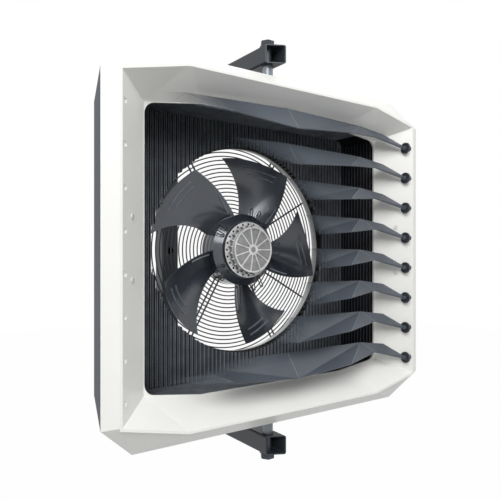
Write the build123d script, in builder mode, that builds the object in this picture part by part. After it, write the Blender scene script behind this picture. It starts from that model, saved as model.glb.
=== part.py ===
from build123d import *
import math
import os

os.makedirs("parts", exist_ok=True)

# Destratification fan on a swivel console. +Z is up and the front faces -Y.
# The origin is on the wall, behind the middle of the console beam.
# A depth is a distance behind the front rim of the bezel, and the wall lies at depth reach.
reach = 530

# Bezel: a white moulded frame. Half sizes are from the middle of the unit.
side_half = 350
side_edge_half_height = 262
side_edge_depth = 13
top_half = 292
top_half_height = 315
top_edge_depth = 38.5
rim_side_half = 322
rim_side_half_height = 259
rim_top_half = 209
rim_half_height = 284
bezel_wall = 4
rim_thinning = 0.4
opening_half = 265
opening_side_half_height = 233
opening_half_height = 247
opening_bend_half = 160
opening_depth = 55
opening_corner = 20
opening_lip = 4

# Rear shell: a dark faceted casing behind the bezel
knee_half_height = 215
knee_depth = 40
shell_side_room = 12.7
shell_top_room = 7.7
shell_back_half_height = 225
shell_back_top_half = 250
shell_back_depth = 208
shell_wall = 3
joint_gap = 0.3
hole_gap = 0.1
overrun = 1

# Fan deck and duct liner
liner_wall = 3
liner_corner = 17
liner_half = opening_half + bezel_wall + joint_gap
liner_half_height = opening_half_height + bezel_wall + joint_gap
shell_back_half = liner_half + liner_wall + shell_side_room
shell_back_top_half_height = liner_half_height + liner_wall + shell_top_room
deck_depth = 168
deck_rib_depth = 12
deck_plate = 3
deck_rib = 1.6
deck_rib_pitch = 9
side_rib_depth = 3
orifice_radius = 204
ring_wall = 2.5
ring_flange = 5
bell_radius = 234
bell_lip = 3
bell_steps = 8

# Louvres
louvre_count = 8
louvre_pitch = 63.1
louvre_top_z = 215
pivot_depth = 6
louvre_thickness = 2
louvre_rear = ((0, 16, 39.5), (200, 29, 37.5), (268, 28, 28.5))
louvre_front = ((0, -15, -2), (132, -13.5, 7.7), (230, 15, 16.5))
louvre_neck_gap = 2.8
louvre_neck_height = 5
louvre_pin_radius = 4
pin_end_gap = 2
pin_clearance = 0.08
bush_radius = 11.5
bush_stand = 11
bush_thickness = 3.5
bush_spigot_radius = 5.5
bush_spigot_length = 14.5
bush_collar_radius = 6.5
bush_groove_radius = 9.5
bush_recess = 1.5

# Fan
hub_radius = 72
hub_front_radius = 58
hub_front_depth = 152
hub_mid_depth = 164
hub_back_depth = 206
hub_wall = 2
hub_front_inset = 0.8
hub_bend_inset = 0.6
hub_collar_depth = 200
fit_gap = 0.05
blade_count = 5
blade_phase = 37
blade_root_gap = 0.4
blade_tip_radius = 190
blade_thickness = 2
blade_root_low, blade_tip_low = 0, 18
blade_root_high, blade_tip_high = 43, 62
blade_root_front_depth, blade_root_back_depth = 162, 202
blade_tip_front_depth, blade_tip_back_depth = 158, 198
blade_camber = 7
blade_sweep_power = 1.5
vent_radius = 55.5
vent_thickness = 6
vent_count = 24
vent_hole_radius = 2.2
vent_hole_circle = 51
cap_radius = 45
cap_face_depth = 128
cap_rim = 3
cap_rim_height = 2.5
cap_rib_count = 11
cap_rib_width = 2.2
cap_boss_radius = 11
cap_rib_drop = 0.5
cap_dimple_depth = 2
cap_fin_length = 5
cap_fin_height = 10
rotor_radius = 53
rotor_wall = 3.5
rotor_front_depth = 152
rotor_back_depth = 205
shaft_radius = 6
shaft_chamfer = 1
shaft_back_depth = 211
bearing_outer = 14
bearing_width = 9
bearing_clearance = 0.05

# Motor stator and guard
air_gap = 0.6
slot_count = 12
slot_radius = 5.8
slot_circle = 36
stator_front_depth = 168
stator_back_depth = 200
tube_radius = 17
end_turn_inner, end_turn_outer = 28, 43
end_turn_length = 7
flange_radius = 58
flange_thickness = 6
flange_rib_height = 5
flange_rib_count = 12
flange_edge = 6
guard_wire = 1.25
guard_first_radius = 63
guard_pitch = 8.3
guard_ring_count = 21
spoke_radius = 1.75
spoke_pair_angles = (60, 120, 240, 300)
spoke_single_angles = (29, 151, 209, 331)
spoke_pair_gap = 5
clip_radius = 72.5
clip_depth = 153.2
clip_angles = (30, 44)
clip_length, clip_width, clip_wire = 26, 7, 1.6
spoke_end_radius = 242
spoke_start_radius = 50
foot_radius = 246
foot_length = 22
foot_width = 14
foot_thickness = 2
foot_screw_radius = 250
guard_screw_length = 8
guard_head_height = 2.5

# Console: square tubes, swivel bolts and spacers
arm_width = 35
arm_wall = 2
arm_low = 347.5
arm_corner = 3.5
arm_front_left_depth = 65.5
arm_mitre = 17.5
beam_width = 45
beam_depth = 40
beam_wall = 2.5
beam_corner = 4
swivel_depth = 83
bolt_radius = 8
bolt_head_flats = 24
bolt_head_height = 10
bolt_clearance = 0.5
washer_radius = 15
washer_thickness = 2.5
spacer_radius = 10.5
block_radius = 20
block_low, block_high = 272, 318
bolt_low = 285
wall_hole_radius = 5.5
wall_access_radius = 9
wall_hole_spacing = 250

# Electrical box at the rear
box_size, box_depth = 60, 38
box_x = 235
box_wall = 2.5
box_corner = 4
box_inner_corner = 2
post_radius = 4
post_inset = 6
lid_screw_length = 12
lid_head_height = 2
lid_head_radius = 3.5
box_z = -200
lid_thickness = 3
gland_radius = 8
gland_thread_radius = 6
gland_hexagon_radius = 9
gland_length = 18
gland_bore = 5

screw_radius = 2
screw_head = 4.5
screw_length = 10
screw_head_height = 1.6
bezel_screw_z = 48
bezel_screw_depth = 24


def plane_at(depth):
    # A sketch plane facing the front: local x is +X and local y is +Z.
    return Plane.XZ.offset(reach - depth)


def y_at(depth):
    return depth - reach


def polar(radius, degrees):
    return (radius * math.cos(math.radians(degrees)), radius * math.sin(math.radians(degrees)))


def save(name, shape):
    shape.label = name
    export_step(shape, "parts/" + name + ".step")


def ring_points(half, side_height, top_half_width, top_height):
    # Eight corners of a symmetrical octagon, as x and z.
    right = [(half, -side_height), (half, side_height), (top_half_width, top_height)]
    left = [(-top_half_width, top_height), (-half, side_height), (-half, -side_height)]
    return right + left + [(-top_half_width, -top_height), (top_half_width, -top_height)]


def lift(points, depth):
    return [(x, y_at(depth), z) for x, z in points]


corners = [(sx, sz) for sx in (1, -1) for sz in (1, -1)]


def case_cloud(inset, front_shift):
    # The body behind the bezel's edges: side edges, top edges, knees and the back octagon.
    points = []
    for sx, sz in corners:
        points.append((sx * (side_half - inset), y_at(side_edge_depth + front_shift),
                       sz * (side_edge_half_height - inset)))
        points.append((sx * (top_half - inset), y_at(top_edge_depth + front_shift),
                       sz * (top_half_height - inset)))
        points.append((sx * (side_half - inset), y_at(knee_depth), sz * (knee_half_height - inset)))
    back = ring_points(shell_back_half - inset, shell_back_half_height - inset,
                       shell_back_top_half - inset, shell_back_top_half_height - inset)
    return points + lift(back, shell_back_depth - inset)


def skin_cloud(inset):
    # The bezel's outer skin runs from the rim to its side and top edges.
    rim = ring_points(rim_side_half - inset, rim_side_half_height - inset,
                      rim_top_half - inset, rim_half_height - inset)
    return lift(rim, rim_thinning * inset) + case_cloud(inset, 0)


def funnel_cloud(grow, front, back):
    # The funnel from the rim to the opening. Its two ends are carried on along the same slopes.
    points = []
    outline = opening_outline(grow)
    rim = ring_points(rim_side_half + grow, rim_side_half_height + grow,
                      rim_top_half + grow, rim_half_height + grow)
    for depth in (front, back):
        share = depth / opening_depth
        for (x, z), (u, v) in zip(rim, outline):
            points.append((x + (u - x) * share, y_at(depth), z + (v - z) * share))
    return points


def opening_outline(grow):
    # Corners of the opening in the order of the rim: sides, then the bends of top and bottom.
    return ring_points(opening_half + grow, opening_side_half_height + grow,
                       opening_bend_half, opening_half_height + grow)


funnel_slope = (rim_side_half - opening_half) / opening_depth


def funnel_x(depth):
    return rim_side_half - funnel_slope * depth


bush_face_half = funnel_x(pivot_depth) - bush_stand
bush_end_half = bush_face_half + bush_spigot_length
pin_end_half = bush_end_half - pin_end_gap
louvre_z = [louvre_top_z - i * louvre_pitch for i in range(louvre_count)]
screw_planes = []
for side in (1, -1):
    for z in (bezel_screw_z, -bezel_screw_z):
        normal = (-side, -funnel_slope, 0)
        origin = (side * funnel_x(bezel_screw_depth), y_at(bezel_screw_depth), z)
        screw_planes.append(Plane(origin=origin, x_dir=(0, 0, 1), z_dir=normal))

with BuildPart() as front_bezel:
    ConvexPolyhedron(skin_cloud(0))
    ConvexPolyhedron(skin_cloud(bezel_wall), mode=Mode.SUBTRACT)
    ConvexPolyhedron(case_cloud(0, 0), mode=Mode.SUBTRACT)
    ConvexPolyhedron(funnel_cloud(bezel_wall, 0, opening_depth + opening_lip))
    ConvexPolyhedron(funnel_cloud(0, -opening_lip, opening_depth), mode=Mode.SUBTRACT)
    with BuildSketch(plane_at(opening_depth - overrun)) as opening_hole:
        with BuildLine():
            Polyline(*opening_outline(-overrun), close=True)
        make_face()
        side_corners = opening_hole.vertices().filter_by(lambda v: abs(v.X) > opening_bend_half + overrun)
        fillet(side_corners, opening_corner)
    extrude(amount=-3 * opening_lip, mode=Mode.SUBTRACT)
    for side in (1, -1):
        for z in louvre_z:
            with BuildSketch(Plane.YZ.offset(side * bush_face_half)):
                with Locations((y_at(pivot_depth), z)):
                    Circle(bush_spigot_radius + hole_gap)
            extrude(amount=side * (bush_spigot_length + joint_gap), mode=Mode.SUBTRACT)
    for z in louvre_z:
        with BuildSketch(Plane.YZ.offset(bush_face_half)):
            with Locations((y_at(pivot_depth), z)):
                Circle(bush_radius + hole_gap)
        extrude(amount=bush_thickness + hole_gap, mode=Mode.SUBTRACT)
    for plane in screw_planes:
        with BuildSketch(plane.offset(-screw_length)):
            Circle(screw_radius + hole_gap)
        extrude(amount=2 * screw_length, mode=Mode.SUBTRACT)
save("front_bezel", front_bezel.part)

with BuildPart() as bezel_screws:
    for plane in screw_planes:
        with BuildSketch(plane.offset(-screw_length)):
            Circle(screw_radius)
        extrude(amount=screw_length)
        with BuildSketch(plane):
            Circle(screw_head)
        extrude(amount=screw_head_height)
save("bezel_screws", bezel_screws.part)

with BuildPart() as rear_shell:
    ConvexPolyhedron(case_cloud(0, joint_gap))
    ConvexPolyhedron(case_cloud(shell_wall, -5 * shell_wall), mode=Mode.SUBTRACT)
    with BuildSketch(plane_at(shell_back_depth - 3 * shell_wall)):
        Circle(bell_radius + hole_gap)
    extrude(amount=-6 * shell_wall, mode=Mode.SUBTRACT)
    for side in (1, -1):
        with BuildSketch(Plane.XY.offset(side * block_low)):
            with Locations((0, y_at(swivel_depth))):
                Circle(block_radius + hole_gap)
        extrude(amount=side * (block_high - block_low), mode=Mode.SUBTRACT)
    with BuildSketch(plane_at(shell_back_depth - 3 * shell_wall)):
        for angle in spoke_pair_angles + spoke_single_angles:
            with Locations(polar(foot_screw_radius, angle)):
                Circle(screw_radius + hole_gap)
    extrude(amount=-6 * shell_wall, mode=Mode.SUBTRACT)
save("rear_shell", rear_shell.part)

# Duct liner: four walls with upright ribs on its two sides
with BuildPart() as duct_liner:
    with BuildSketch(plane_at(opening_depth)):
        RectangleRounded(2 * (liner_half + liner_wall), 2 * (liner_half_height + liner_wall),
                         liner_corner + liner_wall)
        RectangleRounded(2 * liner_half, 2 * liner_half_height, liner_corner, mode=Mode.SUBTRACT)
    extrude(amount=-(deck_depth + deck_plate - opening_depth))
    rib_count = int((deck_depth - opening_depth - deck_rib_depth) / deck_rib_pitch)
    for side in (1, -1):
        for i in range(rib_count):
            depth = opening_depth + (i + 0.5) * deck_rib_pitch
            with BuildSketch(Plane.XY.offset(-(liner_half_height - liner_corner))):
                with Locations((side * (liner_half - (side_rib_depth - overrun) / 2), y_at(depth))):
                    Rectangle(side_rib_depth + overrun, deck_rib)
            extrude(amount=2 * (liner_half_height - liner_corner))
save("duct_liner", duct_liner.part)

# Fan deck: a plate with a round hole and upright fins in front of it
deck_half = liner_half - side_rib_depth - joint_gap
fin_span = int(deck_half / deck_rib_pitch)
with BuildPart() as fan_deck:
    with BuildSketch(plane_at(deck_depth)):
        RectangleRounded(2 * (liner_half - joint_gap), 2 * (liner_half_height - joint_gap), liner_corner)
    extrude(amount=-deck_plate)
    with BuildSketch(plane_at(deck_depth)):
        for i in range(-fin_span, fin_span + 1):
            tall = liner_half_height - joint_gap
            if abs(i * deck_rib_pitch) > liner_half - liner_corner:
                tall -= liner_corner
            with Locations((i * deck_rib_pitch, 0)):
                Rectangle(deck_rib, 2 * tall)
    extrude(amount=deck_rib_depth)
    with BuildSketch(plane_at(deck_depth - 2 * deck_rib_depth)):
        Circle(orifice_radius)
    extrude(amount=-4 * deck_rib_depth, mode=Mode.SUBTRACT)
save("fan_deck", fan_deck.part)

# Turned pieces, all about the fan's axis
def turned(name, profile):
    with BuildPart() as piece:
        with BuildSketch(Plane.XY):
            with BuildLine():
                Polyline(*[(radius, y_at(depth)) for radius, depth in profile], close=True)
            make_face()
        revolve(axis=Axis.Y)
    save(name, piece.part)


# Fan ring: a flange behind the deck, and a bell mouth that opens to the back of the shell
ring_front_depth = deck_depth + deck_plate
bell_start_depth = ring_front_depth + ring_wall
bell_end_depth = shell_back_depth - bell_lip


def bell_curve(radius, depth):
    # A quarter of an ellipse that leaves the ring along the axis and ends nearly flat.
    curve = []
    for i in range(bell_steps + 1):
        angle = math.radians(90 * i / bell_steps)
        curve.append((radius + (bell_radius - ring_wall - orifice_radius) * (1 - math.cos(angle)),
                      depth + (bell_end_depth - bell_start_depth) * math.sin(angle)))
    return curve


inner_curve = bell_curve(orifice_radius, bell_start_depth)
outer_curve = bell_curve(orifice_radius + ring_wall, bell_start_depth)
turned("fan_ring", [(orifice_radius, ring_front_depth)] + inner_curve
       + [(bell_radius - ring_wall, shell_back_depth), (bell_radius, shell_back_depth)]
       + outer_curve[::-1]
       + [(orifice_radius + ring_wall + ring_flange, bell_start_depth),
          (orifice_radius + ring_wall + ring_flange, ring_front_depth)])

# Louvre bushes: round buttons on the right, and plugs flush with the funnel's wall on the left
for side, word in ((1, "right"), (-1, "left")):
    with BuildPart() as bushes:
        for z in louvre_z:
            centre = (y_at(pivot_depth), z)
            with BuildSketch(Plane.YZ.offset(side * bush_face_half)):
                with Locations(centre):
                    Circle(bush_spigot_radius)
            extrude(amount=side * bush_spigot_length)
            if side == 1:
                with BuildSketch(Plane.YZ.offset(bush_face_half)):
                    with Locations(centre):
                        Circle(bush_radius)
                extrude(amount=bush_thickness)
                with BuildSketch(Plane.YZ.offset(bush_face_half)):
                    with Locations(centre):
                        Circle(bush_groove_radius)
                        Circle(bush_collar_radius, mode=Mode.SUBTRACT)
                extrude(amount=bush_recess, mode=Mode.SUBTRACT)
            with BuildSketch(Plane.YZ.offset(side * bush_face_half)):
                with Locations(centre):
                    Circle(louvre_pin_radius + pin_clearance)
            extrude(amount=side * (bush_spigot_length - pin_end_gap + joint_gap), mode=Mode.SUBTRACT)
        if side == -1:
            ConvexPolyhedron(funnel_cloud(0, -opening_lip, opening_depth), mode=Mode.SUBTRACT)
    save("pivot_bushes_" + word, bushes.part)

# Louvre: folded sheet. Its facets meet in the middle crease and in a crease near each end.
louvre_neck_half = bush_face_half - louvre_neck_gap
rear_middle, rear_knee, rear_end = louvre_rear
front_middle, front_knee, front_end = louvre_front
neck_top = (louvre_neck_half, 0, louvre_neck_height / 2)
neck_bottom = (louvre_neck_half, 0, -louvre_neck_height / 2)
louvre_facets = ((rear_middle, rear_knee, front_middle), (rear_knee, front_knee, front_middle),
                 (rear_knee, front_end, front_knee), (rear_knee, rear_end, front_end),
                 (rear_end, neck_top, front_end), (neck_top, neck_bottom, front_end))
louvre_rise = rear_middle[2] - front_middle[2]
louvre_run = rear_middle[1] - front_middle[1]
louvre_normal = Vector(0, -louvre_rise, louvre_run).normalized()


def louvre_facet(facet, side, z):
    points = [Vector(side * x, y_at(pivot_depth + back), z + up) for x, back, up in facet]
    return Face(Wire.make_polygon([point - louvre_normal * (louvre_thickness / 2) for point in points]))


for index, z in enumerate(louvre_z):
    with BuildPart() as louvre:
        for side in (1, -1):
            for facet in louvre_facets:
                extrude(louvre_facet(facet, side, z), amount=louvre_thickness, dir=tuple(louvre_normal))
            with BuildSketch(Plane.YZ.offset(side * (louvre_neck_half - louvre_neck_height))):
                with Locations((y_at(pivot_depth), z)):
                    Circle(louvre_pin_radius)
            extrude(amount=side * (pin_end_half - louvre_neck_half + louvre_neck_height))
    save(f"louvre_{index + 1}", louvre.part)

# Hub, motor can and shaft
collar = rotor_radius + fit_gap
turned("fan_hub", [
    (collar, hub_front_depth), (hub_front_radius, hub_front_depth), (hub_radius, hub_mid_depth),
    (hub_radius, hub_back_depth), (hub_radius - hub_wall, hub_back_depth),
    (hub_radius - hub_wall, hub_mid_depth + hub_bend_inset),
    (hub_front_radius - hub_front_inset, hub_front_depth + hub_wall),
    (collar + hub_wall, hub_front_depth + hub_wall), (collar + hub_wall, hub_collar_depth),
    (collar, hub_collar_depth)])
turned("rotor_can", [
    (shaft_radius + fit_gap, rotor_front_depth), (rotor_radius, rotor_front_depth),
    (rotor_radius, rotor_back_depth), (rotor_radius - rotor_wall, rotor_back_depth),
    (rotor_radius - rotor_wall, rotor_front_depth + rotor_wall),
    (shaft_radius + fit_gap, rotor_front_depth + rotor_wall)])
turned("motor_shaft", [
    (0, rotor_front_depth), (shaft_radius, rotor_front_depth),
    (shaft_radius, shaft_back_depth - shaft_chamfer),
    (shaft_radius - shaft_chamfer, shaft_back_depth), (0, shaft_back_depth)])

# Blades: thin twisted sheets, front edge at the low angle and back edge at the high angle
blade_start = hub_radius + blade_root_gap


def blade_point(out, across, turn):
    # out runs from root to tip and across from the front edge to the back edge, both 0 to 1.
    radius = blade_start + (blade_tip_radius - blade_start) * out
    low = blade_root_low + (blade_tip_low - blade_root_low) * out
    high = blade_root_high + (blade_tip_high - blade_root_high) * out ** blade_sweep_power
    angle = blade_phase + turn + low + (high - low) * across
    front = blade_root_front_depth + (blade_tip_front_depth - blade_root_front_depth) * out
    back = blade_root_back_depth + (blade_tip_back_depth - blade_root_back_depth) * out
    depth = front + (back - front) * across + blade_camber * math.sin(math.pi * across)
    x, z = polar(radius, angle)
    return Vector(x, y_at(depth), z)


grid_steps = 8
for index in range(blade_count):
    turn = index * 360 / blade_count
    grid = [[blade_point(i / grid_steps, j / grid_steps, turn) for j in range(grid_steps + 1)]
            for i in range(grid_steps + 1)]
    blade_face = Face.make_surface_from_array_of_points(grid)
    with BuildPart() as blade:
        thicken(blade_face, amount=blade_thickness / 2, both=True)
    save(f"fan_blade_{index + 1}", blade.part)

# Silver front of the motor: a ring of vent holes and a ribbed cap
vent_front_depth = rotor_front_depth - vent_thickness
with BuildPart() as vent_ring:
    with BuildSketch(plane_at(rotor_front_depth)):
        Circle(vent_radius)
        Circle(cap_radius + fit_gap, mode=Mode.SUBTRACT)
        with PolarLocations(vent_hole_circle, vent_count):
            Circle(vent_hole_radius, mode=Mode.SUBTRACT)
    extrude(amount=vent_thickness)
save("vent_ring", vent_ring.part)

with BuildPart() as rotor_cap:
    with BuildSketch(plane_at(rotor_front_depth)):
        Circle(cap_radius)
    extrude(amount=rotor_front_depth - cap_face_depth)
    with BuildSketch(plane_at(cap_face_depth + cap_rim_height)):
        Circle(cap_radius - cap_rim)
    extrude(amount=2 * cap_rim_height, mode=Mode.SUBTRACT)
    with BuildSketch(plane_at(rotor_front_depth + overrun)):
        Circle(cap_radius - cap_rim)
    extrude(amount=rotor_front_depth - cap_face_depth - cap_rim_height - cap_rim, mode=Mode.SUBTRACT)
    with BuildSketch(plane_at(cap_face_depth + cap_rim_height)):
        Circle(cap_boss_radius)
        with PolarLocations((cap_radius - cap_rim + cap_boss_radius / 2) / 2, cap_rib_count):
            Rectangle(cap_radius - cap_rim - cap_boss_radius / 2, cap_rib_width)
    extrude(amount=cap_rim_height - cap_rib_drop)
    with BuildSketch(plane_at(cap_face_depth + cap_rib_drop)):
        Circle(cap_boss_radius / 2, mode=Mode.ADD)
    extrude(amount=-cap_dimple_depth, mode=Mode.SUBTRACT)
    with BuildSketch(plane_at(vent_front_depth)):
        fin_circle = cap_radius + (cap_fin_length - cap_rim) / 2
        with PolarLocations(fin_circle, vent_count, start_angle=180 / vent_count):
            Rectangle(cap_fin_length, cap_rib_width)
    extrude(amount=cap_fin_height)
save("rotor_cap", rotor_cap.part)

with BuildPart() as balance_clips:
    with BuildSketch(plane_at(clip_depth)):
        for clip_angle in clip_angles:
            with PolarLocations(clip_radius, blade_count, start_angle=blade_phase + clip_angle):
                SlotOverall(clip_length, clip_width)
                SlotOverall(clip_length - 2 * clip_wire, clip_width - 2 * clip_wire, mode=Mode.SUBTRACT)
    extrude(amount=clip_wire)
save("balance_clips", balance_clips.part)

# Stator side: bearings, laminated core with its winding, and the flange that carries them
guard_spoke_depth = shell_back_depth + spoke_radius + fit_gap
flange_front_depth = guard_spoke_depth + spoke_radius + fit_gap
stator_radius = rotor_radius - rotor_wall - air_gap
for name, front in (("bearing_front", stator_front_depth),
                    ("bearing_rear", shaft_back_depth - shaft_chamfer - bearing_width)):
    turned(name, [(shaft_radius + bearing_clearance, front), (bearing_outer, front),
                  (bearing_outer, front + bearing_width),
                  (shaft_radius + bearing_clearance, front + bearing_width)])

with BuildPart() as motor_stator:
    with BuildSketch(plane_at(stator_front_depth)):
        Circle(stator_radius)
        Circle(tube_radius + fit_gap, mode=Mode.SUBTRACT)
        with PolarLocations(slot_circle, slot_count):
            Circle(slot_radius, mode=Mode.SUBTRACT)
    extrude(amount=-(stator_back_depth - stator_front_depth))
save("motor_stator", motor_stator.part)

with BuildPart() as motor_winding:
    for face_depth, way in ((stator_front_depth, 1), (stator_back_depth, -1)):
        with BuildSketch(plane_at(face_depth)):
            Circle(end_turn_outer)
            Circle(end_turn_inner, mode=Mode.SUBTRACT)
        extrude(amount=way * end_turn_length)
    with BuildSketch(plane_at(stator_front_depth)):
        with PolarLocations(slot_circle, slot_count):
            Circle(slot_radius - fit_gap)
    extrude(amount=-(stator_back_depth - stator_front_depth))
save("motor_winding", motor_winding.part)

with BuildPart() as motor_flange:
    with BuildSketch(plane_at(flange_front_depth)):
        Circle(flange_radius)
    extrude(amount=-flange_thickness)
    with BuildSketch(plane_at(flange_front_depth)):
        Circle(tube_radius)
        Circle(bearing_outer + fit_gap, mode=Mode.SUBTRACT)
    extrude(amount=flange_front_depth - stator_front_depth + overrun)
    with BuildSketch(plane_at(flange_front_depth + flange_thickness)):
        Circle(tube_radius)
        with PolarLocations(flange_radius / 2, flange_rib_count):
            Rectangle(flange_radius - flange_edge, cap_rib_width)
    extrude(amount=-flange_rib_height)
save("motor_flange", motor_flange.part)

# Wire guard: rings welded behind the spokes, whose feet are screwed to the shell
guard_ring_depth = guard_spoke_depth + spoke_radius + guard_wire + fit_gap
with BuildPart() as guard_rings:
    for i in range(guard_ring_count):
        with BuildSketch(Plane.XY):
            with Locations((guard_first_radius + i * guard_pitch, y_at(guard_ring_depth))):
                Circle(guard_wire)
        revolve(axis=Axis.Y)
save("guard_rings", guard_rings.part)

spokes = [(angle, 0) for angle in spoke_single_angles]
spokes += [(angle, way * spoke_pair_gap) for angle in spoke_pair_angles for way in (1, -1)]
spoke_angles = spoke_single_angles + spoke_pair_angles
with BuildPart() as guard_spokes:
    for angle, shift in spokes:
        x, z = polar(spoke_start_radius, angle)
        dx, dz = polar(shift, angle + 90)
        along = polar(1, angle)
        start = (x + dx, y_at(guard_spoke_depth), z + dz)
        with BuildSketch(Plane(origin=start, z_dir=(along[0], 0, along[1]))):
            Circle(spoke_radius)
        extrude(amount=spoke_end_radius - spoke_start_radius)
save("guard_spokes", guard_spokes.part)

with BuildPart() as guard_feet:
    for angle in spoke_angles:
        with BuildSketch(plane_at(flange_front_depth)):
            with Locations(Location((*polar(foot_radius, angle), 0), (0, 0, angle))):
                Rectangle(foot_length, foot_width)
            with Locations(polar(foot_screw_radius, angle)):
                Circle(screw_radius + hole_gap, mode=Mode.SUBTRACT)
        extrude(amount=-foot_thickness)
save("guard_feet", guard_feet.part)

with BuildPart() as guard_screws:
    for angle in spoke_angles:
        with BuildSketch(plane_at(shell_back_depth - guard_screw_length)):
            with Locations(polar(foot_screw_radius, angle)):
                Circle(screw_radius)
        extrude(amount=-(flange_front_depth + foot_thickness - shell_back_depth + guard_screw_length))
        with BuildSketch(plane_at(flange_front_depth + foot_thickness)):
            with Locations(polar(foot_screw_radius, angle)):
                Circle(screw_head)
        extrude(amount=-guard_head_height)
save("guard_screws", guard_screws.part)

# Console: two arms welded to the front of the beam
arm_middle = arm_low + arm_width / 2
beam_half_height = arm_low + arm_width
arm_front_right_depth = arm_front_left_depth - arm_mitre
beam_front_depth = reach - beam_depth
for way, word in ((1, "top"), (-1, "bottom")):
    with BuildPart() as arm:
        with BuildSketch(plane_at(beam_front_depth)):
            with Locations((0, way * arm_middle)):
                RectangleRounded(arm_width, arm_width, arm_corner)
                RectangleRounded(arm_width - 2 * arm_wall, arm_width - 2 * arm_wall,
                                 arm_corner - arm_wall, mode=Mode.SUBTRACT)
        extrude(amount=beam_front_depth - arm_front_right_depth)
        with BuildSketch(Plane.XY.offset(way * arm_middle)):
            with BuildLine():
                Polyline((-arm_width / 2, y_at(arm_front_left_depth)),
                         (arm_width / 2, y_at(arm_front_right_depth)),
                         (arm_width / 2, y_at(arm_front_right_depth) - arm_wall),
                         (-arm_width / 2, y_at(arm_front_right_depth) - arm_wall), close=True)
            make_face()
        extrude(amount=arm_width, both=True, mode=Mode.SUBTRACT)
        with BuildSketch(Plane.XY.offset(way * arm_middle)):
            with Locations((0, y_at(swivel_depth))):
                Circle(bolt_radius + bolt_clearance)
        extrude(amount=arm_width, both=True, mode=Mode.SUBTRACT)
    save("console_arm_" + word, arm.part)

with BuildPart() as console_beam:
    with BuildSketch(Plane.XY.offset(-beam_half_height)):
        with Locations((0, -beam_depth / 2)):
            RectangleRounded(beam_width, beam_depth, beam_corner)
            RectangleRounded(beam_width - 2 * beam_wall, beam_depth - 2 * beam_wall,
                             beam_corner - beam_wall, mode=Mode.SUBTRACT)
    extrude(amount=2 * beam_half_height)
    with BuildSketch(plane_at(reach + overrun)):
        with Locations((0, 0), (0, wall_hole_spacing), (0, -wall_hole_spacing)):
            Circle(wall_hole_radius)
    extrude(amount=beam_wall + 2 * overrun, mode=Mode.SUBTRACT)
    with BuildSketch(plane_at(reach - beam_depth + beam_wall + overrun)):
        with Locations((0, 0), (0, wall_hole_spacing), (0, -wall_hole_spacing)):
            Circle(wall_access_radius)
    extrude(amount=beam_wall + 2 * overrun, mode=Mode.SUBTRACT)
save("console_beam", console_beam.part)

# Swivel: a bolt through each arm, its washer and spacer, and a threaded block in the shell
swivel_y = y_at(swivel_depth)
washer_low = arm_low + arm_width
with BuildPart() as swivel_bolts:
    for way in (1, -1):
        with BuildSketch(Plane.XY.offset(way * (washer_low + washer_thickness))):
            with Locations((0, swivel_y)):
                RegularPolygon(bolt_head_flats / 2, 6, major_radius=False)
        extrude(amount=way * bolt_head_height)
        with BuildSketch(Plane.XY.offset(way * bolt_low)):
            with Locations((0, swivel_y)):
                Circle(bolt_radius)
        extrude(amount=way * (washer_low + washer_thickness - bolt_low))
save("swivel_bolts", swivel_bolts.part)

for name, low, high, outer, bore in (
        ("swivel_washers", washer_low, washer_low + washer_thickness, washer_radius, bolt_clearance),
        ("swivel_spacers", block_high + joint_gap, arm_low, spacer_radius, bolt_clearance),
        ("swivel_blocks", block_low, block_high, block_radius, pin_clearance)):
    with BuildPart() as sleeve:
        for way in (1, -1):
            with BuildSketch(Plane.XY.offset(way * low)):
                with Locations((0, swivel_y)):
                    Circle(outer)
                    Circle(bolt_radius + bore, mode=Mode.SUBTRACT)
            extrude(amount=way * (high - low))
    save(name, sleeve.part)

# Electrical box on the shell's back, with its lid, screws and cable gland
box_place = (box_x, box_z)
post_reach = box_size / 2 - post_inset
lid_screw_places = [(box_x + sx * post_reach, box_z + sz * post_reach) for sx, sz in corners]
with BuildPart() as terminal_box:
    with BuildSketch(plane_at(shell_back_depth)):
        with Locations(box_place):
            RectangleRounded(box_size, box_size, box_corner)
    extrude(amount=-box_depth)
    with BuildSketch(plane_at(shell_back_depth + box_wall)):
        with Locations(box_place):
            RectangleRounded(box_size - 2 * box_wall, box_size - 2 * box_wall, box_inner_corner)
    extrude(amount=-box_depth, mode=Mode.SUBTRACT)
    with BuildSketch(plane_at(shell_back_depth + box_wall)):
        with Locations(*lid_screw_places):
            Circle(post_radius)
            Circle(screw_radius + hole_gap, mode=Mode.SUBTRACT)
    extrude(amount=-(box_depth - box_wall))
    with BuildSketch(Plane.XY.offset(box_z - box_size / 2 - overrun)):
        with Locations((box_x, y_at(shell_back_depth + box_depth / 2))):
            Circle(gland_thread_radius)
    extrude(amount=box_wall + 2 * overrun, mode=Mode.SUBTRACT)
save("terminal_box", terminal_box.part)

with BuildPart() as terminal_lid:
    with BuildSketch(plane_at(shell_back_depth + box_depth)):
        with Locations(box_place):
            RectangleRounded(box_size, box_size, box_corner)
        with Locations(*lid_screw_places):
            Circle(screw_radius + hole_gap, mode=Mode.SUBTRACT)
    extrude(amount=-lid_thickness)
save("terminal_lid", terminal_lid.part)

with BuildPart() as lid_screws:
    with BuildSketch(plane_at(shell_back_depth + box_depth - lid_screw_length)):
        with Locations(*lid_screw_places):
            Circle(screw_radius)
    extrude(amount=-(lid_screw_length + lid_thickness))
    with BuildSketch(plane_at(shell_back_depth + box_depth + lid_thickness)):
        with Locations(*lid_screw_places):
            Circle(lid_head_radius)
    extrude(amount=-lid_head_height)
save("lid_screws", lid_screws.part)

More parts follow.
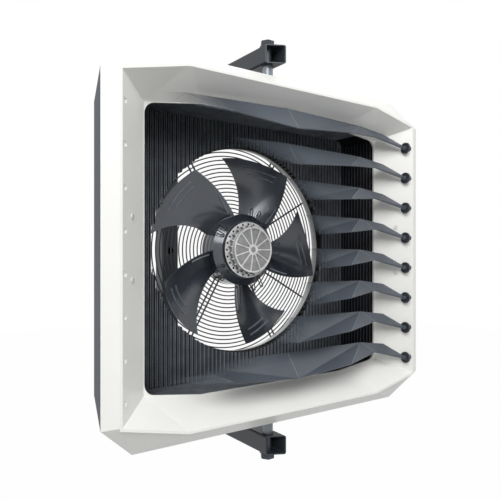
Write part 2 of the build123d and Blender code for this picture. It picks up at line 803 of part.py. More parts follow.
gland_y = y_at(shell_back_depth + box_depth / 2)
with BuildPart() as cable_gland:
    with BuildSketch(Plane.XY.offset(box_z - box_size / 2 + box_wall)):
        with Locations((box_x, gland_y)):
            Circle(gland_thread_radius - fit_gap)
    extrude(amount=-box_wall)
    with BuildSketch(Plane.XY.offset(box_z - box_size / 2)):
        with Locations((box_x, gland_y)):
            RegularPolygon(gland_hexagon_radius, 6)
    extrude(amount=-gland_length / 2)
    with BuildSketch(Plane.XY.offset(box_z - box_size / 2 - gland_length / 2)):
        with Locations((box_x, gland_y)):
            Circle(gland_radius)
    extrude(amount=-gland_length / 2)
    with BuildSketch(Plane.XY.offset(box_z - box_size / 2 + box_wall + overrun)):
        with Locations((box_x, gland_y)):
            Circle(gland_bore)
    extrude(amount=-(gland_length + box_wall + 2 * overrun), mode=Mode.SUBTRACT)
save("cable_gland", cable_gland.part)
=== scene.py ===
import math
import bmesh
import bpy
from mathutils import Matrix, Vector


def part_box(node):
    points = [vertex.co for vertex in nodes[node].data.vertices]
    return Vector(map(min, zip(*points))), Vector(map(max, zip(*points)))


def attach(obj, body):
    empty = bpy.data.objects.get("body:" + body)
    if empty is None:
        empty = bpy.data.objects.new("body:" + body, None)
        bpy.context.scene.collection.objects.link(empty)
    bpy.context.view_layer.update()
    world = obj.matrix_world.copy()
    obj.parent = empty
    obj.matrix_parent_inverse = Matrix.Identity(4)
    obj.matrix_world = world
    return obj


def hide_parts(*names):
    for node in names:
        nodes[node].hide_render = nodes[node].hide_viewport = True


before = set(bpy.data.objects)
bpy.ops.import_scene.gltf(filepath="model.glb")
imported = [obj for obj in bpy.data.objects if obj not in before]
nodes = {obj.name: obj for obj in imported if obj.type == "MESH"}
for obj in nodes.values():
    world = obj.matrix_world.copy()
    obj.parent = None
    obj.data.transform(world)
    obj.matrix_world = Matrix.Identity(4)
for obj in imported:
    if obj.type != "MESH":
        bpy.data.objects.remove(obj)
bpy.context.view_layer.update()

# Console beam and arms. Square steel tube, welded, shot blasted and powder coated in anthracite:
# an even satin coat with a faint orange peel of about 2 mm and colour that wanders slightly in patches.
# The beam is bolted to the wall and the two arms are welded to its front.
def linear(code):
    values = [int(code[i:i + 2], 16) / 255 for i in (1, 3, 5)]
    return tuple(v / 12.92 if v <= 0.04045 else ((v + 0.055) / 1.055) ** 2.4 for v in values) + (1.0,)


def add_node(tree, kind, values=None, links=None, **settings):
    node = tree.nodes.new(kind)
    for name, value in settings.items():
        setattr(node, name, value)
    for socket, value in (values or {}).items():
        node.inputs[socket].default_value = value
    for socket, source in (links or {}).items():
        tree.links.new(source, node.inputs[socket])
    return node


def surface(name, dark, light, patch, grain, height, rough, spread=0.06, metallic=0.0, coat=0.0,
            coat_rough=0.25):
    # Colour wanders from dark to light over patches, and grain gives bump and roughness.
    # patch, grain and height are sizes in metres.
    material = bpy.data.materials.new(name)
    material.use_nodes = True
    tree = material.node_tree
    shader = tree.nodes["Principled BSDF"]
    shader.inputs["Metallic"].default_value = metallic
    shader.inputs["Coat Weight"].default_value = coat
    shader.inputs["Coat Roughness"].default_value = coat_rough
    place = add_node(tree, "ShaderNodeTexCoord").outputs["Object"]
    patches = add_node(tree, "ShaderNodeTexNoise", {"Scale": 1 / patch, "Detail": 4.0}, {"Vector": place})
    grains = add_node(tree, "ShaderNodeTexNoise", {"Scale": 1 / grain, "Detail": 2.0}, {"Vector": place})
    colours = add_node(tree, "ShaderNodeValToRGB", links={"Fac": patches.outputs["Fac"]})
    for stop, code, position in zip(colours.color_ramp.elements, (dark, light), (0.35, 0.65)):
        stop.color = linear(code)
        stop.position = position
    gloss = add_node(tree, "ShaderNodeMapRange", {"To Min": rough - spread, "To Max": rough + spread},
                     {"Value": grains.outputs["Fac"]})
    bump = add_node(tree, "ShaderNodeBump", {"Strength": 1.0, "Distance": height},
                    {"Height": grains.outputs["Fac"]})
    tree.links.new(colours.outputs["Color"], shader.inputs["Base Color"])
    tree.links.new(gloss.outputs["Result"], shader.inputs["Roughness"])
    tree.links.new(bump.outputs["Normal"], shader.inputs["Normal"])
    return material


def dress(material, *names):
    for name in names:
        mesh = nodes[name].data
        mesh.materials.clear()
        mesh.materials.append(material)


def bend_edges(node, material, width, angle=20.0):
    # A copy of a CAD piece with its doubles merged and its sharp edges rounded, which stands for the node.
    merge_within, flat_within = 0.00002, math.radians(1.0)
    mesh = nodes[node].data.copy()
    shape = bmesh.new()
    shape.from_mesh(mesh)
    bmesh.ops.remove_doubles(shape, verts=shape.verts, dist=merge_within)
    bmesh.ops.dissolve_limit(shape, angle_limit=flat_within, verts=shape.verts, edges=shape.edges)
    shape.to_mesh(mesh)
    shape.free()
    mesh.materials.clear()
    mesh.materials.append(material)
    piece = bpy.data.objects.new(node + "_finished", mesh)
    bpy.context.collection.objects.link(piece)
    rounding = piece.modifiers.new("rounding", "BEVEL")
    rounding.width = width
    rounding.segments = 2
    rounding.limit_method = "ANGLE"
    rounding.angle_limit = math.radians(angle)
    graph = bpy.context.evaluated_depsgraph_get()
    rounded = bpy.data.meshes.new_from_object(piece.evaluated_get(graph))
    piece.modifiers.clear()
    piece.data = rounded
    return piece


powder_coat = surface("powder_coat_anthracite", "#2C3137", "#353A41", 0.18, 0.002, 0.00006, 0.42)
dress(powder_coat, "console_beam", "console_arm_top", "console_arm_bottom")
arm_edge = 0.0006
for name in ("console_arm_top", "console_arm_bottom"):
    arm = bend_edges(name, powder_coat, arm_edge)
    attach(arm, "console")
    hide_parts(name)

# Swivel hardware. Two M16 hexagon bolts with washers, spacers and the threaded blocks in the casing.
# Zinc-nickel plated steel, black passivated: a thin dark skin with turning marks of about 1 mm. The spacers
# are left in plain grey zinc.
black_zinc = surface("black_zinc_steel", "#3A3E44", "#4B5058", 0.03, 0.001, 0.00003, 0.38, metallic=0.55)
dress(black_zinc, "swivel_bolts", "swivel_washers", "swivel_blocks")
grey_zinc = surface("grey_zinc_steel", "#7B8086", "#92979D", 0.03, 0.001, 0.00003, 0.4, metallic=0.55)
dress(grey_zinc, "swivel_spacers")

# Rear casing. One vacuum-formed ABS shell in anthracite, with a fine leather-like grain of about
# 1.5 mm and a soft sheen. The bezel is screwed to its front edge.
shell_plastic = surface("grained_abs_anthracite", "#3E444D", "#4A5059", 0.25, 0.0015, 0.00008, 0.5)
dress(shell_plastic, "rear_shell")
shell_edge = 0.002
shell = bend_edges("rear_shell", shell_plastic, shell_edge)
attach(shell, "unit")
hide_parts("rear_shell")

# Duct liner and fan deck. Black moulded polypropylene: the deck is a finned plate with a round hole, and
# the liner's side walls are ribbed. The crests of the liner's ribs are coloured a lighter grey, a painted
# highlight.
def result_of(tree, operation, first, second=0.0):
    values = {i: v for i, v in ((0, first), (1, second)) if isinstance(v, float)}
    links = {i: v for i, v in ((0, first), (1, second)) if not isinstance(v, float)}
    return add_node(tree, "ShaderNodeMath", values, links, operation=operation).outputs[0]


deck_plastic = surface("black_polypropylene", "#0B0B0D", "#141416", 0.05, 0.002, 0.00005, 0.45)
dress(deck_plastic, "fan_deck")
liner_plastic = surface("ribbed_black_polypropylene", "#0B0B0D", "#141416", 0.05, 0.002, 0.00005, 0.45)
tree = liner_plastic.node_tree
shader = tree.nodes["Principled BSDF"]
skin = shader.inputs["Base Color"].links[0].from_socket
rib_crest_inner, rib_crest_outer, rib_half_height = 0.2655, 0.2668, 0.236
place = tree.nodes["Texture Coordinate"].outputs["Object"]
axes = add_node(tree, "ShaderNodeSeparateXYZ", links={0: place}).outputs
aside = result_of(tree, "ABSOLUTE", axes["X"])
inside = result_of(tree, "LESS_THAN", aside, rib_crest_outer)
outside = result_of(tree, "GREATER_THAN", aside, rib_crest_inner)
level = result_of(tree, "LESS_THAN", result_of(tree, "ABSOLUTE", axes["Z"]), rib_half_height)
crest = result_of(tree, "MULTIPLY", result_of(tree, "MULTIPLY", inside, outside), level)
# The lighter grey on the rib crests is a painted highlight, not a colour of the plastic.
crest_highlight = add_node(tree, "ShaderNodeMix", data_type="RGBA")
crest_highlight.inputs["B"].default_value = linear("#5A6068")
tree.links.new(crest, crest_highlight.inputs["Factor"])
tree.links.new(skin, crest_highlight.inputs["A"])
tree.links.new(crest_highlight.outputs["Result"], shader.inputs["Base Color"])
dress(liner_plastic, "duct_liner")

# Deck net. Thin polypropylene strips moulded between the fins, 4.5 mm apart upright and 6 mm apart across:
# each stops at the round hole and at the deck's rounded corners. Their crests are coloured a paler grey, a
# painted highlight.
def tree_inputs(name, sizes):
    tree = bpy.data.node_groups.new(name, "GeometryNodeTree")
    tree.interface.new_socket("Shape", in_out="INPUT", socket_type="NodeSocketGeometry")
    for size, kind in sizes:
        tree.interface.new_socket(size, in_out="INPUT", socket_type=kind)
    tree.interface.new_socket("Shape", in_out="OUTPUT", socket_type="NodeSocketGeometry")
    return tree, add_node(tree, "NodeGroupInput").outputs


def finish_tree(tree, instances):
    # Every tree ends alike: real geometry with its material on it.
    solid = add_node(tree, "GeometryNodeRealizeInstances", links={"Geometry": instances})
    given = next(node for node in tree.nodes if node.bl_idname == "NodeGroupInput").outputs
    coated = add_node(tree, "GeometryNodeSetMaterial",
                      links={"Geometry": solid.outputs[0], "Material": given["Material"]})
    add_node(tree, "NodeGroupOutput", links={0: coated.outputs[0]})


def grown(name, tree, values, body, start_mesh=None):
    # Runs a tree on a start mesh and keeps the result as a plain mesh that rides on one body.
    start = bpy.data.objects.new(name + "_start", start_mesh or bpy.data.meshes.new(name + "_start"))
    bpy.context.collection.objects.link(start)
    grower = start.modifiers.new("grower", "NODES")
    grower.node_group = tree
    for socket in tree.interface.items_tree:
        if socket.in_out == "INPUT" and socket.name in values:
            grower[socket.identifier] = values[socket.name]
    graph = bpy.context.evaluated_depsgraph_get()
    mesh = bpy.data.meshes.new_from_object(start.evaluated_get(graph))
    bpy.data.objects.remove(start)
    piece = bpy.data.objects.new(name, mesh)
    bpy.context.collection.objects.link(piece)
    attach(piece, body)
    return piece


number = "NodeSocketFloat"
strip_tree, given = tree_inputs("strips_round_a_hole", (
    ("Strips", "NodeSocketInt"), ("Pitch", number), ("Half span", number), ("Half width", number),
    ("Corner", number), ("Hole radius", number), ("Strip width", number), ("Strip depth", number),
    ("Lean", number), ("Turn", number), ("Place", number), ("Height", number),
    ("Material", "NodeSocketMaterial")))
gaps = result_of(strip_tree, "SUBTRACT", given["Strips"], 1.0)
row_width = result_of(strip_tree, "MULTIPLY", gaps, given["Pitch"])
first_x = result_of(strip_tree, "MULTIPLY", row_width, -0.5)
start = add_node(strip_tree, "ShaderNodeCombineXYZ", links={"X": first_x})
step = add_node(strip_tree, "ShaderNodeCombineXYZ", links={"X": given["Pitch"]})
row = add_node(strip_tree, "GeometryNodeMeshLine", links={
    "Count": given["Strips"], "Start Location": start.outputs[0], "Offset": step.outputs[0]})
spot = add_node(strip_tree, "GeometryNodeInputPosition").outputs[0]
here = add_node(strip_tree, "ShaderNodeSeparateXYZ", links={0: spot}).outputs["X"]
# A strip's outer end follows the deck's rounded corner.
flat = result_of(strip_tree, "SUBTRACT", given["Half width"], given["Corner"])
past_flat = result_of(strip_tree, "SUBTRACT", result_of(strip_tree, "ABSOLUTE", here), flat)
past = result_of(strip_tree, "MAXIMUM", past_flat, 0.0)
corner_square = result_of(strip_tree, "MULTIPLY", given["Corner"], given["Corner"])
past_square = result_of(strip_tree, "MULTIPLY", past, past)
rise_square = result_of(strip_tree, "SUBTRACT", corner_square, past_square)
rise = result_of(strip_tree, "SQRT", result_of(strip_tree, "MAXIMUM", rise_square, 0.0))
corner_start = result_of(strip_tree, "SUBTRACT", given["Half span"], given["Corner"])
top = result_of(strip_tree, "ADD", corner_start, rise)
# Its inner end follows the round hole. Past the hole the two halves stay 0.2 mm apart, so both are closed.
least_low_square = 1e-8
hole_square = result_of(strip_tree, "MULTIPLY", given["Hole radius"], given["Hole radius"])
here_square = result_of(strip_tree, "MULTIPLY", here, here)
low_square = result_of(strip_tree, "SUBTRACT", hole_square, here_square)
low = result_of(strip_tree, "SQRT", result_of(strip_tree, "MAXIMUM", low_square, least_low_square))
middle = result_of(strip_tree, "MULTIPLY", result_of(strip_tree, "ADD", top, low), 0.5)
strip_length = result_of(strip_tree, "SUBTRACT", top, low)
spans = add_node(strip_tree, "GeometryNodeJoinGeometry")
for side in (1.0, -1.0):
    shift = add_node(strip_tree, "ShaderNodeCombineXYZ",
                     links={"Z": result_of(strip_tree, "MULTIPLY", middle, side)})
    moved = add_node(strip_tree, "GeometryNodeSetPosition",
                     links={"Geometry": row.outputs[0], "Offset": shift.outputs[0]})
    strip_tree.links.new(moved.outputs[0], spans.inputs[0])
block = add_node(strip_tree, "GeometryNodeMeshCube", {"Size": (1, 1, 1)})
strip_size = add_node(strip_tree, "ShaderNodeCombineXYZ", links={
    "X": given["Strip width"], "Y": given["Strip depth"], "Z": strip_length})
strips = add_node(strip_tree, "GeometryNodeInstanceOnPoints", links={
    "Points": spans.outputs[0], "Instance": block.outputs[0], "Scale": strip_size.outputs[0]})
spin = add_node(strip_tree, "ShaderNodeCombineXYZ", links={"X": given["Lean"], "Y": given["Turn"]})
place = add_node(strip_tree, "ShaderNodeCombineXYZ", links={"Y": given["Place"], "Z": given["Height"]})
placed = add_node(strip_tree, "GeometryNodeTransform", links={
    "Geometry": strips.outputs[0], "Translation": place.outputs[0], "Rotation": spin.outputs[0]})
finish_tree(strip_tree, placed.outputs[0])

# The strips' pale grey on black plastic is a painted highlight.
strip_pale = surface("polypropylene_crests_painted_highlight", "#7C828A", "#969CA4", 0.02, 0.002, 0.00005, 0.38)
deck_low, deck_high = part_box("fan_deck")
deck_front = deck_low[1]
deck_corner = 0.017
hole_edge = 0.2055
crest_depth, crest_stand_out = 0.004, 0.0005
tie_depth, tie_set_back = 0.0015, 0.003
deck_margin = 0.001
strip_width = 0.0006
upright_pitch, across_pitch = 0.0045, 0.006
deck_half_x, deck_half_z = deck_high[0] - deck_margin, deck_high[2] - deck_margin
grown("deck_crests", strip_tree, {
    "Strips": 2 * int(deck_half_x / upright_pitch) + 1, "Pitch": upright_pitch, "Half span": deck_half_z,
    "Half width": deck_half_x, "Corner": deck_corner, "Hole radius": hole_edge, "Strip width": strip_width,
    "Strip depth": crest_depth, "Turn": 0.0, "Place": deck_front + crest_depth / 2 - crest_stand_out,
    "Material": strip_pale}, "unit")
# The ties' mid grey on black plastic is a painted highlight.
tie_plastic = surface("polypropylene_ties_painted_highlight", "#484D54", "#585D64", 0.02, 0.002, 0.00005, 0.42)
grown("deck_ties", strip_tree, {
    "Strips": 2 * int(deck_half_z / across_pitch) + 1, "Pitch": across_pitch, "Half span": deck_half_x,
    "Half width": deck_half_z, "Corner": deck_corner, "Hole radius": hole_edge, "Strip width": strip_width,
    "Strip depth": tie_depth, "Turn": math.pi / 2, "Place": deck_front + tie_set_back,
    "Material": tie_plastic}, "unit")

# Duct ribs. Low polypropylene ribs moulded on the liner's floor and ceiling, from the opening back to the
# deck. They stand in line with the net's upright strips and wear the same pale grey, a painted highlight.
floor_rib_start, floor_rib_end, floor_rib_height, floor_rib_half = 0.0605, 0.1555, 0.0015, 0.25
liner_wall, wall_reach = 0.003, 0.53
duct_half_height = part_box("duct_liner")[1][2] - liner_wall
for word, way in (("floor", -1), ("ceiling", 1)):
    grown(f"duct_{word}_ribs", strip_tree, {
        "Strips": 2 * int(floor_rib_half / upright_pitch) + 1, "Pitch": upright_pitch,
        "Half span": (floor_rib_end - floor_rib_start) / 2, "Half width": floor_rib_half, "Corner": 0.0,
        "Hole radius": 0.0, "Strip width": strip_width, "Strip depth": floor_rib_height, "Lean": math.pi / 2,
        "Place": (floor_rib_start + floor_rib_end) / 2 - wall_reach,
        "Height": way * (duct_half_height - floor_rib_height / 2),
        "Material": strip_pale}, "unit")

# Fan ring. One bell mouth moulded in pale grey ABS, which carries the deck's hole to the casing's back.
# It has a satin sheen and a fine grain of about 1.5 mm.
ring_plastic = surface("pale_grey_abs_nozzle", "#D2D1D2", "#E2E1E2", 0.08, 0.0015, 0.00004, 0.34)
dress(ring_plastic, "fan_ring")

# Wire guard. Rings of drawn steel wire welded to spokes and dip coated in black: small runs and a low
# sheen. Bright zinc-plated screws hold its feet on the casing.
wire_coat = surface("black_dip_coat_wire", "#101114", "#1C1D21", 0.02, 0.0012, 0.00004, 0.4)
dress(wire_coat, "guard_rings", "guard_spokes", "guard_feet")
zinc = surface("bright_zinc_steel", "#8D9196", "#A9ADB1", 0.02, 0.0008, 0.00003, 0.35, metallic=1.0)
dress(zinc, "guard_screws")

# Motor's fixed side. A black painted cast flange, two steel bearings, a stack of steel sheets and
# its varnished copper winding.
cast_black = surface("black_painted_casting", "#15171A", "#222529", 0.03, 0.0025, 0.00012, 0.5)
dress(cast_black, "motor_flange")
turned_steel = surface("turned_steel", "#8A8C8F", "#A6A8AB", 0.02, 0.0006, 0.00002, 0.32, metallic=1.0)
dress(turned_steel, "bearing_front", "bearing_rear", "motor_stator", "motor_shaft")
phosphated = surface("phosphated_steel", "#1B1D20", "#26292D", 0.02, 0.001, 0.00004, 0.5, metallic=0.3)
dress(phosphated, "rotor_can")
copper = surface("varnished_copper_wire", "#7A3B1A", "#A3552A", 0.004, 0.0012, 0.0002, 0.35,
                 metallic=0.8, coat=0.6)
dress(copper, "motor_winding")

# Flange screws. Six zinc-plated steel screws on the back of the motor's flange, which they fix. Their low
# turned heads have a chamfered rim.
screw_tree, given = tree_inputs("screws_on_a_circle", (
    ("Screws", "NodeSocketInt"), ("Circle radius", number), ("First angle", number), ("Place", number),
    ("Head radius", number), ("Rim radius", number), ("Head height", number),
    ("Material", "NodeSocketMaterial")))
head = add_node(screw_tree, "GeometryNodeMeshCone", {"Vertices": 20}, {
    "Radius Top": given["Rim radius"], "Radius Bottom": given["Head radius"], "Depth": given["Head height"]})
turned_head = add_node(screw_tree, "GeometryNodeTransform", {"Rotation": (-math.pi / 2, 0, 0)},
                       {"Geometry": head.outputs[0]})
circle = add_node(screw_tree, "GeometryNodeMeshCircle",
                  links={"Vertices": given["Screws"], "Radius": given["Circle radius"]})
tilt = add_node(screw_tree, "ShaderNodeCombineXYZ", {"X": math.pi / 2}, {"Y": given["First angle"]})
place = add_node(screw_tree, "ShaderNodeCombineXYZ", links={"Y": given["Place"]})
ring = add_node(screw_tree, "GeometryNodeTransform", links={
    "Geometry": circle.outputs[0], "Rotation": tilt.outputs[0], "Translation": place.outputs[0]})
screws = add_node(screw_tree, "GeometryNodeInstanceOnPoints",
                  links={"Points": ring.outputs[0], "Instance": turned_head.outputs[0]})
finish_tree(screw_tree, screws.outputs[0])
flange_depth = 0.2176
grown("flange_screws", screw_tree, {
    "Screws": 6, "Circle radius": 0.05, "First angle": math.radians(15), "Place": flange_depth - wall_reach,
    "Head radius": 0.004, "Rim radius": 0.0032, "Head height": 0.003, "Material": zinc}, "unit")

# Fan wheel. Five pressed steel blades riveted to a spun hub, spray painted dark grey. The semi-gloss
# coat gives broad soft reflections.
blade_paint = surface("semi_gloss_grey_paint", "#383D45", "#414750", 0.12, 0.003, 0.00001, 0.25,
                      spread=0.02, metallic=0.3, coat=1.0, coat_rough=0.12)
blade_names = [f"fan_blade_{i}" for i in range(1, 6)]
dress(blade_paint, "fan_hub", *blade_names)
blade_root, blade_tip = 0.0724, 0.19
blade_phase, blade_sweep = 37, 18
root_spread, added_spread, spread_power = 43, 19, 1.5
blade_depth, tip_forward, pitch_depth, camber = 0.162, 0.004, 0.04, 0.007


def blade_spot(out, across, lift):
    # out runs from root to tip and across from the front edge to the back edge, both 0 to 1.
    radius = blade_root + (blade_tip - blade_root) * out
    back_edge = root_spread + added_spread * out ** spread_power
    front_edge = blade_sweep * out
    angle = math.radians(blade_phase + front_edge + (back_edge - front_edge) * across)
    depth = blade_depth - tip_forward * out + pitch_depth * across + camber * math.sin(math.pi * across)
    return (radius * math.cos(angle), depth - wall_reach - lift, radius * math.sin(angle))


# Pressed ribs. Two long ribs run side by side near each blade's tip and one stands across its root. They
# are pressed up from the same sheet, and the paint on them is paler.
rib_tree, given = tree_inputs("ribs_on_each_blade", (
    ("Blades", "NodeSocketInt"), ("Rib radius", number), ("Material", "NodeSocketMaterial")))
lines = add_node(rib_tree, "GeometryNodeMeshToCurve", links={"Mesh": given["Shape"]})
section = add_node(rib_tree, "GeometryNodeCurvePrimitiveCircle", {"Resolution": 8},
                   {"Radius": given["Rib radius"]})
tubes = add_node(rib_tree, "GeometryNodeCurveToMesh", {"Fill Caps": True},
                 {"Curve": lines.outputs[0], "Profile Curve": section.outputs[0]})
hubs = add_node(rib_tree, "GeometryNodeMeshLine", {"Offset": (0, 0, 0)}, {"Count": given["Blades"]})
index = add_node(rib_tree, "GeometryNodeInputIndex").outputs[0]
turns = result_of(rib_tree, "MULTIPLY", index, math.tau)
share = result_of(rib_tree, "DIVIDE", turns, given["Blades"])
way = add_node(rib_tree, "ShaderNodeCombineXYZ", links={"Y": share})
ribs = add_node(rib_tree, "GeometryNodeInstanceOnPoints", links={
    "Points": hubs.outputs[0], "Instance": tubes.outputs[0], "Rotation": way.outputs[0]})
finish_tree(rib_tree, ribs.outputs[0])

rib_radius = 0.002
rib_steps = 14
blade_half = 0.001
rib_paths = (((0.88, 0.18), (0.85, 0.72)), ((0.78, 0.22), (0.75, 0.68)), ((0.06, 0.12), (0.42, 0.06)))
points, edges = [], []
for (out_a, across_a), (out_b, across_b) in rib_paths:
    for i in range(rib_steps):
        share = i / (rib_steps - 1)
        if i:
            edges.append((len(points) - 1, len(points)))
        points.append(blade_spot(out_a + (out_b - out_a) * share,
                                 across_a + (across_b - across_a) * share, blade_half))
rib_lines = bpy.data.meshes.new("rib_lines")
rib_lines.from_pydata(points, edges, [])
rib_paint = surface("pale_grey_rib_paint", "#60666E", "#737981", 0.02, 0.003, 0.00001, 0.25,
                    spread=0.02, coat=0.5)
grown("blade_ribs", rib_tree, {"Blades": len(blade_names), "Rib radius": rib_radius, "Material": rib_paint},
      "fan", rib_lines)

# Balance clips. Hairpins of dark spring wire pushed on at the blade roots. The drawn wire has a smooth
# low sheen.
wire_steel = surface("dark_spring_wire", "#2A2D32", "#3A3E44", 0.01, 0.0008, 0.00002, 0.35, metallic=0.6)
dress(wire_steel, "balance_clips")

# Rotor cap and vent ring. Die-cast aluminium as it comes from the die: matt silver with a fine
# pebbled skin of about 1.5 mm. Its crests are kept bright as a painted highlight, and its hollows and vent
# holes are darkened as painted shade.
def by_depth(material, steps):
    # Multiplies the colour by a grey that changes with the depth behind the bezel's rim, in metres: painted
    # light and shade.
    tree = material.node_tree
    shader = tree.nodes["Principled BSDF"]
    skin = shader.inputs["Base Color"].links[0].from_socket
    place = tree.nodes["Texture Coordinate"].outputs["Object"]
    axes = add_node(tree, "ShaderNodeSeparateXYZ", links={0: place}).outputs
    first, last = steps[0][0], steps[-1][0]
    along = add_node(tree, "ShaderNodeMapRange",
                     {"From Min": first - wall_reach, "From Max": last - wall_reach}, {"Value": axes["Y"]})
    tones = add_node(tree, "ShaderNodeValToRGB", links={"Fac": along.outputs["Result"]})
    tones.color_ramp.interpolation = "CONSTANT"
    for i, (depth, tone) in enumerate(steps[:-1]):
        stops = tones.color_ramp.elements
        stop = stops[i] if i < len(stops) else stops.new(0.5)
        stop.position = (depth - first) / (last - first)
        stop.color = (tone, tone, tone, 1)
    painted_light_and_shade = add_node(tree, "ShaderNodeMix", {"Factor": 1.0}, data_type="RGBA", blend_type="MULTIPLY")
    tree.links.new(skin, painted_light_and_shade.inputs["A"])
    tree.links.new(tones.outputs["Color"], painted_light_and_shade.inputs["B"])
    tree.links.new(painted_light_and_shade.outputs["Result"], shader.inputs["Base Color"])


cap_aluminium = surface("die_cast_aluminium_painted_light", "#D4D4D5", "#F0F0F0", 0.012, 0.0015, 0.00015, 0.38,
                        metallic=0.25)
# Painted highlight on the cap's rib crests and painted shade on the face and hollows between them.
by_depth(cap_aluminium, ((0.1275, 1.0), (0.1298, 0.4), (0.1312, 0.85), (0.138, 0.3), (0.16, 1.0)))
dress(cap_aluminium, "rotor_cap")
vent_aluminium = surface("vented_aluminium_painted_shade", "#C8C8C9", "#E8E8E9", 0.010, 0.0015, 0.0002, 0.38,
                         metallic=0.25)
# Painted shade: a dark band where the vent holes are.
by_depth(vent_aluminium, ((0.14, 1.0), (0.1465, 0.05), (0.16, 1.0)))
dress(vent_aluminium, "vent_ring")

# Front bezel. White moulded ABS with a fine spark-eroded texture of about 1 mm and a satin sheen. The
# left louvre plugs are moulded in the same white, and its screws are painted steel.
white_plastic = surface("white_satin_abs", "#F0F0EC", "#F6F6F2", 0.3, 0.001, 0.00003, 0.36)
dress(white_plastic, "front_bezel", "pivot_bushes_left")
screw_paint = surface("white_painted_steel", "#CFCFCD", "#DADAD8", 0.01, 0.0008, 0.00002, 0.35)
dress(screw_paint, "bezel_screws")
bezel_edge = 0.0012
bezel = bend_edges("front_bezel", white_plastic, bezel_edge)
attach(bezel, "unit")
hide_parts("front_bezel")

# Louvre buttons. Anthracite nylon bushes, turned and pressed in the bezel's right side wall. The nylon
# has a fine grain of about 1 mm and a low sheen.
button_plastic = surface("anthracite_nylon", "#33383F", "#3F454D", 0.02, 0.001, 0.00004, 0.4)
dress(button_plastic, "pivot_bushes_right")

# Louvres. Folded aluminium sheet, powder coated. The photograph draws them cut away in front of the
# fan, so their coat fades to clear there, over a longer stretch on the outer louvres.
louvre_coat = surface("powder_coat_louvre", "#474D56", "#525962", 0.15, 0.002, 0.00005, 0.36)
tree = louvre_coat.node_tree
place = tree.nodes["Texture Coordinate"].outputs["Object"]
axes = add_node(tree, "ShaderNodeSeparateXYZ", links={0: place}).outputs
fade_half_height = 0.205
fade_left, fade_reach = -0.25, 0.295
fade_width, fade_narrowing = 0.18, -0.11
upward = result_of(tree, "DIVIDE", axes["Z"], fade_half_height)
rest = result_of(tree, "SUBTRACT", 1.0, result_of(tree, "MULTIPLY", upward, upward))
bulge = result_of(tree, "SQRT", result_of(tree, "MAXIMUM", rest, 0.0))
edge = result_of(tree, "ADD", result_of(tree, "MULTIPLY", bulge, fade_reach), fade_left)
breadth = result_of(tree, "ADD", result_of(tree, "MULTIPLY", bulge, fade_narrowing), fade_width)
past = result_of(tree, "SUBTRACT", axes["X"], edge)
fade = add_node(tree, "ShaderNodeMapRange", links={"Value": past, "From Max": breadth},
                interpolation_type="SMOOTHSTEP")
tree.links.new(fade.outputs["Result"], tree.nodes["Principled BSDF"].inputs["Alpha"])
louvre_count, louvre_edge, louvre_crease_angle = 8, 0.0005, 12.0
for i in range(1, louvre_count + 1):
    dress(louvre_coat, f"louvre_{i}")
    louvre = bend_edges(f"louvre_{i}", louvre_coat, louvre_edge, louvre_crease_angle)
    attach(louvre, f"louvre_{i}")
    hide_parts(f"louvre_{i}")

# Louvre creases. Each fold is pressed to a narrow bead coloured paler, a painted highlight: one at the
# middle and two towards each end, on the side that faces the room.
crease_coat = louvre_coat.copy()
crease_coat.name = "powder_coat_louvre_crease_painted_highlight"
# The paler crease colour is a painted highlight along each fold.
stops = crease_coat.node_tree.nodes["Color Ramp"].color_ramp.elements
for stop, code in zip(stops, ("#6B727B", "#7C838C")):
    stop.color = linear(code)
louvre_pitch, louvre_top, pivot_depth = 0.0631, 0.215, 0.006
rear_middle, rear_knee = (0, 0.016, 0.0395), (0.2, 0.029, 0.0375)
front_middle, front_knee, front_end = (0, -0.015, -0.002), (0.132, -0.0135, 0.0077), (0.23, 0.015, 0.0165)
rise, run = rear_middle[2] - front_middle[2], rear_middle[1] - front_middle[1]
slant = math.hypot(rise, run)
bead_lift, bead_radius, bead_end = 0.0009, 0.0006, 0.04
creases = [(rear_middle, front_middle)]
for side in (1, -1):
    creases += [((side * a[0], a[1], a[2]), (side * b[0], b[1], b[2]))
                for a, b in ((rear_knee, front_knee), (rear_knee, front_end))]
for i in range(louvre_count):
    points, edges = [], []
    for a, b in creases:
        edges.append((len(points), len(points) + 1))
        for share in (bead_end, 1 - bead_end):
            x, back, up = (v + (w - v) * share for v, w in zip(a, b))
            points.append((x, pivot_depth + back - wall_reach - bead_lift * rise / slant,
                           louvre_top - i * louvre_pitch + up + bead_lift * run / slant))
    bead_lines = bpy.data.meshes.new(f"bead_lines_{i + 1}")
    bead_lines.from_pydata(points, edges, [])
    grown(f"louvre_{i + 1}_creases", rib_tree,
          {"Blades": 1, "Rib radius": bead_radius, "Material": crease_coat},
          f"louvre_{i + 1}", bead_lines)

# Electrical box. Grey moulded ABS box and lid with a cable gland below, closed by zinc-plated screws.
# The plastic has a fine grain of about 1 mm and a dull sheen.
box_plastic = surface("grey_abs_box", "#7E8184", "#8A8D90", 0.04, 0.001, 0.00004, 0.45)
dress(box_plastic, "terminal_box", "terminal_lid", "cable_gland")
dress(zinc, "lid_screws")

# Studio. A white floor and sky, with one broad lamp high on the left and a weaker one on the right. The
# sky is white to the camera and in reflections, and dimmer for the light that it sheds.
sky = bpy.data.worlds.new("white_studio")
bpy.context.scene.world = sky
sky.use_nodes = True
tree = sky.node_tree
tree.nodes.clear()


def backdrop_share(tree):
    # 1 for a ray that shows the backdrop: straight from the camera, off a glossy surface or through glass.
    rays = add_node(tree, "ShaderNodeLightPath").outputs
    seen = result_of(tree, "MAXIMUM", rays["Is Camera Ray"], rays["Is Glossy Ray"])
    return result_of(tree, "MAXIMUM", seen, rays["Is Transmission Ray"])


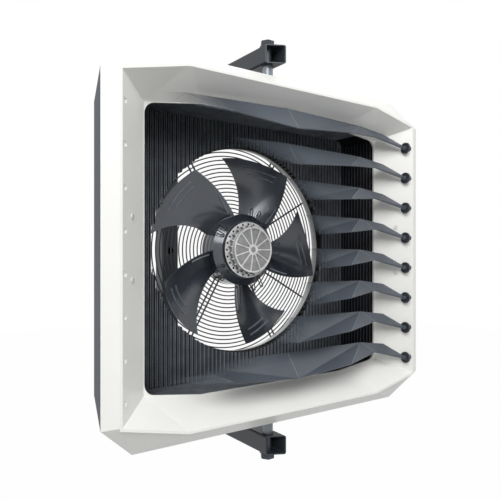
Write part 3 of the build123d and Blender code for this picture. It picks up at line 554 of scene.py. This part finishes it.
overhead, underfoot, horizon_blend = 0.54, 0.15, 0.3
way = add_node(tree, "ShaderNodeTexCoord")
height = add_node(tree, "ShaderNodeSeparateXYZ", links={0: way.outputs["Generated"]})
light = add_node(tree, "ShaderNodeMapRange", {
    "From Min": -horizon_blend, "From Max": horizon_blend, "To Min": underfoot, "To Max": overhead},
                 {"Value": height.outputs["Z"]})
level = add_node(tree, "ShaderNodeMapRange", {"To Max": 1.0},
                 {"Value": backdrop_share(tree), "To Min": light.outputs[0]})
glow = add_node(tree, "ShaderNodeBackground", {"Color": (1, 1, 1, 1)}, {"Strength": level.outputs["Result"]})
add_node(tree, "ShaderNodeOutputWorld", links={"Surface": glow.outputs["Background"]})

floor_height = -1.0
floor_half = 6.0
floor_mesh = bpy.data.meshes.new("studio_floor")
floor_mesh.from_pydata([(-floor_half, -floor_half, floor_height), (floor_half, -floor_half, floor_height),
                        (floor_half, floor_half, floor_height), (-floor_half, floor_half, floor_height)],
                       [], [(0, 1, 2, 3)])
studio_floor = bpy.data.objects.new("studio_floor", floor_mesh)
bpy.context.collection.objects.link(studio_floor)
floor_paint = bpy.data.materials.new("white_floor_paint")
floor_paint.use_nodes = True
tree = floor_paint.node_tree
tree.nodes.clear()
place = add_node(tree, "ShaderNodeTexCoord")
cloud = add_node(tree, "ShaderNodeTexNoise", {"Scale": 1.2}, {"Vector": place.outputs["Object"]})
tint = add_node(tree, "ShaderNodeValToRGB", links={"Fac": cloud.outputs["Fac"]})
tint.color_ramp.elements[0].color = linear("#B4B4B4")
tint.color_ramp.elements[1].color = linear("#C4C4C4")
matt = add_node(tree, "ShaderNodeBsdfDiffuse", links={"Color": tint.outputs["Color"]})
plain = add_node(tree, "ShaderNodeEmission", {"Color": (1, 1, 1, 1), "Strength": 1.0})
white_share = 0.985
share = result_of(tree, "MULTIPLY", backdrop_share(tree), white_share)
both = add_node(tree, "ShaderNodeMixShader",
                links={0: share, 1: matt.outputs["BSDF"], 2: plain.outputs["Emission"]})
add_node(tree, "ShaderNodeOutputMaterial", links={"Surface": both.outputs["Shader"]})
floor_mesh.materials.append(floor_paint)

for name, place, aim, size, power in (("key_lamp", (-1.15, -2.2, 1.5), (0, -0.45, 0), 1.6, 49),
                                      ("right_lamp", (2.2, -1.9, 0.9), (0, -0.45, 0), 1.4, 5)):
    lamp = bpy.data.lights.new(name, "AREA")
    lamp.size = size
    lamp.energy = power
    stand = bpy.data.objects.new(name, lamp)
    stand.location = place
    way = [a - p for a, p in zip(aim, place)]
    flat = math.hypot(way[0], way[1])
    stand.rotation_euler = (math.atan2(flat, -way[2]), 0, math.atan2(-way[0], way[1]))
    bpy.context.collection.objects.link(stand)

camera_place, camera_turn = (-0.6175, -1.2696, -0.0074), math.radians(-35.05)
camera_data = bpy.data.cameras.new("camera")
camera_data.lens = 38.88
camera_data.sensor_width = 36
camera_data.shift_y = 0.007
camera_data.clip_start = 0.01
camera = bpy.data.objects.new("camera", camera_data)
camera.location = camera_place
camera.rotation_euler = (math.radians(90), 0, camera_turn)
bpy.context.collection.objects.link(camera)
bpy.context.scene.camera = camera
bpy.context.scene.view_settings.view_transform = "Standard"
